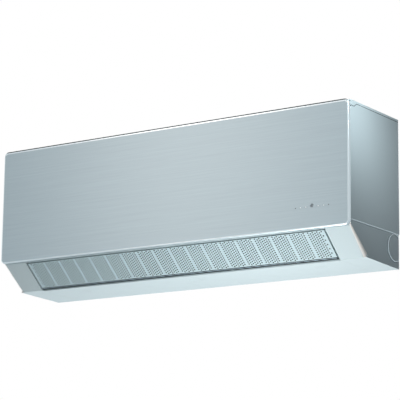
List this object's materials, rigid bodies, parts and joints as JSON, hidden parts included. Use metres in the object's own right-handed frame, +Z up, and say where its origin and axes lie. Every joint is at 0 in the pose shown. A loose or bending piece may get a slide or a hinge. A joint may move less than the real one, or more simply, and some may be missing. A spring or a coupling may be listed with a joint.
{
  "type": "wall-mounted air conditioner",
  "caption": "Wall-mounted indoor air conditioner with a flat brushed front panel, sloping perforated outlet flap, cross-flow fan, evaporator, air filters and a wall plate.",
  "frame": {"origin": "on the wall plane, at the centre of the wall plate's four screw holes", "axes": "+X to the right seen from the room, +Y into the wall, +Z up"},
  "size_m": [0.85, 0.198, 0.2999],
  "materials": {
    "brushed_panel": "fine horizontal brushing, satin",
    "panel_backing": "fine spark texture",
    "silver_casing": "silver-grey paint on plastic, satin",
    "silver_flap": "silver-grey paint, matt",
    "dark_plastic": "matt",
    "white_plastic": "matt moulded",
    "filter_mesh": "open plastic net in a frame",
    "fin_aluminium": "bright fin stock",
    "copper": "drawn copper, lightly dulled",
    "brass": "turned brass",
    "zinc_steel": "zinc-plated sheet",
    "motor_resin": "cast resin",
    "rubber": "matt rubber",
    "circuit_board": "solder mask",
    "lens": "milky clear"
  },
  "bodies": {
    "housing": {"air_sensor": "white_plastic", "bearing_holder": "white_plastic", "bottom_cover": "silver_casing", "chassis": "white_plastic", "control_board": "circuit_board", "control_box": "white_plastic", "control_box_lid": "white_plastic", "drain_pan": "white_plastic", "drain_plug": "rubber", "drain_spigot": "white_plastic", "evaporator_end_plates": "zinc_steel", "evaporator_front": "fin_aluminium", "evaporator_rear": "fin_aluminium", "evaporator_upper": "fin_aluminium", "fan_bearing": "rubber", "fan_motor": "motor_resin", "flare_unions": "brass", "front_casing": "silver_casing", "front_grille": "dark_plastic", "gas_pipe": "copper", "liquid_pipe": "copper", "louver_bush": "white_plastic", "louver_motor": "zinc_steel", "motor_strap": "zinc_steel", "pipe_clamp": "white_plastic", "return_bends": "copper", "screws": "zinc_steel", "side_cover_left": "silver_casing", "side_cover_right": "silver_casing", "terminal_block": "white_plastic", "top_cover": "silver_casing", "vane_motor_left": "zinc_steel", "vane_motor_right": "zinc_steel", "wall_plate": "zinc_steel"},
    "panel": {"front_panel": "brushed_panel", "panel_frame": "panel_backing", "indicator_lenses": "lens", "display_board": "circuit_board"},
    "fan": {"fan_rotor": "dark_plastic", "fan_shaft": "zinc_steel", "motor_shaft": "zinc_steel"},
    "flap": {"louver": "silver_flap"},
    "filter_left": {"filter_left": "filter_mesh"},
    "filter_right": {"filter_right": "filter_mesh"},
    "button": {"test_button": "white_plastic"},
    "cover_1": {"screw_cover_1": "silver_casing"},
    "cover_2": {"screw_cover_2": "silver_casing"},
    "cover_3": {"screw_cover_3": "silver_casing"},
    "vane_left_1": {"vane_left_1": "dark_plastic"},
    "vane_left_2": {"vane_left_2": "dark_plastic"},
    "vane_left_3": {"vane_left_3": "dark_plastic"},
    "vane_left_4": {"vane_left_4": "dark_plastic"},
    "vane_left_5": {"vane_left_5": "dark_plastic"},
    "link_left": {"vane_link_left": "dark_plastic"},
    "vane_right_1": {"vane_right_1": "dark_plastic"},
    "vane_right_2": {"vane_right_2": "dark_plastic"},
    "vane_right_3": {"vane_right_3": "dark_plastic"},
    "vane_right_4": {"vane_right_4": "dark_plastic"},
    "vane_right_5": {"vane_right_5": "dark_plastic"},
    "link_right": {"vane_link_right": "dark_plastic"}
  },
  "joints": [
    {"name": "panel_hinge", "type": "hinge", "parent": "housing", "child": "panel", "pos_m": [0, -0.1938, 0.1455], "axis": [-1, 0, 0], "range_deg": [0, 60]},
    {"name": "fan_spin", "type": "hinge", "parent": "housing", "child": "fan", "pos_m": [0, -0.092, -0.035], "axis": [1, 0, 0], "continuous": true},
    {"name": "flap_swing", "type": "hinge", "parent": "housing", "child": "flap", "pos_m": [0, -0.13218, -0.12961], "axis": [1, 0, 0], "range_deg": [0, 70]},
    {"name": "filter_left_slide", "type": "slide", "parent": "housing", "child": "filter_left", "axis": [0, 0, 1], "range_m": [0, 0.19]},
    {"name": "filter_right_slide", "type": "slide", "parent": "housing", "child": "filter_right", "axis": [0, 0, 1], "range_m": [0, 0.19]},
    {"name": "button_press", "type": "slide", "parent": "housing", "child": "button", "axis": [0, 1, 0], "range_m": [0, 0.0015], "stiffness_N_per_m": 150},
    {"name": "cover_1_hinge", "type": "hinge", "parent": "housing", "child": "cover_1", "pos_m": [-0.288, -0.079, -0.14621], "axis": [1, 0, 0], "range_deg": [0, 75]},
    {"name": "cover_2_hinge", "type": "hinge", "parent": "housing", "child": "cover_2", "pos_m": [0.0025, -0.079, -0.14621], "axis": [1, 0, 0], "range_deg": [0, 75]},
    {"name": "cover_3_hinge", "type": "hinge", "parent": "housing", "child": "cover_3", "pos_m": [0.296, -0.079, -0.14621], "axis": [1, 0, 0], "range_deg": [0, 75]},
    {"name": "vane_left_1_swing", "type": "hinge", "parent": "housing", "child": "vane_left_1", "pos_m": [-0.315, -0.08471, -0.1059], "axis": [0, -0.682, 0.7314], "range_deg": [-35, 35]},
    {"name": "vane_left_2_swing", "type": "hinge", "parent": "housing", "child": "vane_left_2", "pos_m": [-0.245, -0.08471, -0.1059], "axis": [0, -0.682, 0.7314], "range_deg": [-35, 35]},
    {"name": "vane_left_3_swing", "type": "hinge", "parent": "housing", "child": "vane_left_3", "pos_m": [-0.175, -0.08471, -0.1059], "axis": [0, -0.682, 0.7314], "range_deg": [-35, 35]},
    {"name": "vane_left_4_swing", "type": "hinge", "parent": "housing", "child": "vane_left_4", "pos_m": [-0.105, -0.08471, -0.1059], "axis": [0, -0.682, 0.7314], "range_deg": [-35, 35]},
    {"name": "vane_left_5_swing", "type": "hinge", "parent": "housing", "child": "vane_left_5", "pos_m": [-0.035, -0.08471, -0.1059], "axis": [0, -0.682, 0.7314], "range_deg": [-35, 35]},
    {"name": "link_left_pivot", "type": "hinge", "parent": "vane_left_1", "child": "link_left", "pos_m": [-0.315, -0.10718, -0.11113], "axis": [0, -0.682, 0.7314], "range_deg": [-35, 35]},
    {"name": "vane_right_1_swing", "type": "hinge", "parent": "housing", "child": "vane_right_1", "pos_m": [0.315, -0.08471, -0.1059], "axis": [0, -0.682, 0.7314], "range_deg": [-35, 35]},
    {"name": "vane_right_2_swing", "type": "hinge", "parent": "housing", "child": "vane_right_2", "pos_m": [0.245, -0.08471, -0.1059], "axis": [0, -0.682, 0.7314], "range_deg": [-35, 35]},
    {"name": "vane_right_3_swing", "type": "hinge", "parent": "housing", "child": "vane_right_3", "pos_m": [0.175, -0.08471, -0.1059], "axis": [0, -0.682, 0.7314], "range_deg": [-35, 35]},
    {"name": "vane_right_4_swing", "type": "hinge", "parent": "housing", "child": "vane_right_4", "pos_m": [0.105, -0.08471, -0.1059], "axis": [0, -0.682, 0.7314], "range_deg": [-35, 35]},
    {"name": "vane_right_5_swing", "type": "hinge", "parent": "housing", "child": "vane_right_5", "pos_m": [0.035, -0.08471, -0.1059], "axis": [0, -0.682, 0.7314], "range_deg": [-35, 35]},
    {"name": "link_right_pivot", "type": "hinge", "parent": "vane_right_1", "child": "link_right", "pos_m": [0.315, -0.10718, -0.11113], "axis": [0, -0.682, 0.7314], "range_deg": [-35, 35]}
  ],
  "couplings": [
    {"joint": "vane_left_2_swing", "follows": "vane_left_1_swing", "ratio": 1},
    {"joint": "vane_left_3_swing", "follows": "vane_left_1_swing", "ratio": 1},
    {"joint": "vane_left_4_swing", "follows": "vane_left_1_swing", "ratio": 1},
    {"joint": "vane_left_5_swing", "follows": "vane_left_1_swing", "ratio": 1},
    {"joint": "link_left_pivot", "follows": "vane_left_1_swing", "ratio": -1},
    {"joint": "vane_right_2_swing", "follows": "vane_right_1_swing", "ratio": 1},
    {"joint": "vane_right_3_swing", "follows": "vane_right_1_swing", "ratio": 1},
    {"joint": "vane_right_4_swing", "follows": "vane_right_1_swing", "ratio": 1},
    {"joint": "vane_right_5_swing", "follows": "vane_right_1_swing", "ratio": 1},
    {"joint": "link_right_pivot", "follows": "vane_right_1_swing", "ratio": -1}
  ]
}
